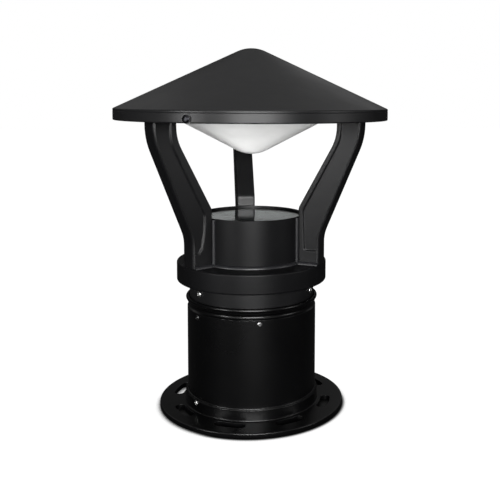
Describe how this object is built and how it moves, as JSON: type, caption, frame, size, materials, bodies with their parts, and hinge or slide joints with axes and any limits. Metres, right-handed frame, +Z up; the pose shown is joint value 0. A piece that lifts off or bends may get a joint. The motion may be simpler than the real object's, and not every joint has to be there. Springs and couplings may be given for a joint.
{
  "type": "post cap light",
  "caption": "Black post light with a conical roof on S-shaped arms over an upward lamp cup, on a short post tube with a slotted base flange.",
  "frame": {"origin": "centre of the cable opening in the base flange, on the flange's bottom face", "axes": "+Z up along the post to the roof's tip, +Y towards the arm at the back, +X to the right of a viewer who looks along +Y"},
  "size_m": [0.2526, 0.25, 0.3319],
  "materials": {
    "tube_paint": "smooth semi-gloss black coating",
    "satin_black_paint": "satin black powder coating",
    "white_paint": "satin white coating",
    "bright_steel": "plain stainless steel",
    "dark_steel": "blackened steel with a worn socket",
    "zinc_plate": "zinc plated sheet",
    "brass_nut": "plain brass",
    "gasket_rubber": "matt black rubber",
    "pad_rubber": "grey filled silicone",
    "black_nylon": "matt black nylon",
    "white_nylon": "matt white nylon",
    "grey_plastic": "matt light grey plastic",
    "lead_jacket": "smooth insulation",
    "aluminium_board": "white solder mask on aluminium",
    "black_baffle": "matt black coating",
    "chip_phosphor": "yellow phosphor",
    "clear_glass": "clear polished glass"
  },
  "bodies": {
    "base": {"base_flange": "tube_paint", "hub_ring": "tube_paint", "post_tube": "tube_paint", "weld_ring": "tube_paint", "tube_screws": "bright_steel", "earth_screw": "bright_steel", "earth_nut": "brass_nut"},
    "roof": {"roof": "satin_black_paint"},
    "head": {"sleeve": "satin_black_paint", "sleeve_screws": "bright_steel", "tray_gasket": "gasket_rubber", "gland_tray": "zinc_plate", "tray_screws": "bright_steel", "cable_gland": "black_nylon", "gland_nut": "black_nylon", "terminal_block": "white_nylon", "supply_leads": "lead_jacket", "driver": "grey_plastic", "driver_screws": "bright_steel", "led_leads": "lead_jacket", "lead_grommet": "gasket_rubber", "collar": "satin_black_paint", "arm_screws": "bright_steel", "rear_arm": "satin_black_paint", "left_arm": "satin_black_paint", "right_arm": "satin_black_paint", "seam_beads": "satin_black_paint", "lamp_cup": "satin_black_paint", "cup_screws": "bright_steel", "thermal_pad": "pad_rubber", "led_board": "aluminium_board", "led_chips": "chip_phosphor", "led_holder": "white_nylon", "board_screws": "bright_steel", "reflector_cup": "black_baffle", "lens_gasket": "gasket_rubber", "lens": "clear_glass", "roof_ring": "satin_black_paint", "ring_screws": "bright_steel", "reflector_cone": "white_paint", "cone_screws": "bright_steel", "roof_washers": "gasket_rubber", "roof_screws": "dark_steel"}
  },
  "joints": [
    {"name": "head_lift", "type": "slide", "parent": "base", "child": "head", "axis": [0, 0, 1], "range_m": [0, 0.04]},
    {"name": "roof_lift", "type": "slide", "parent": "head", "child": "roof", "axis": [0, 0, 1], "range_m": [0, 0.06]}
  ]
}
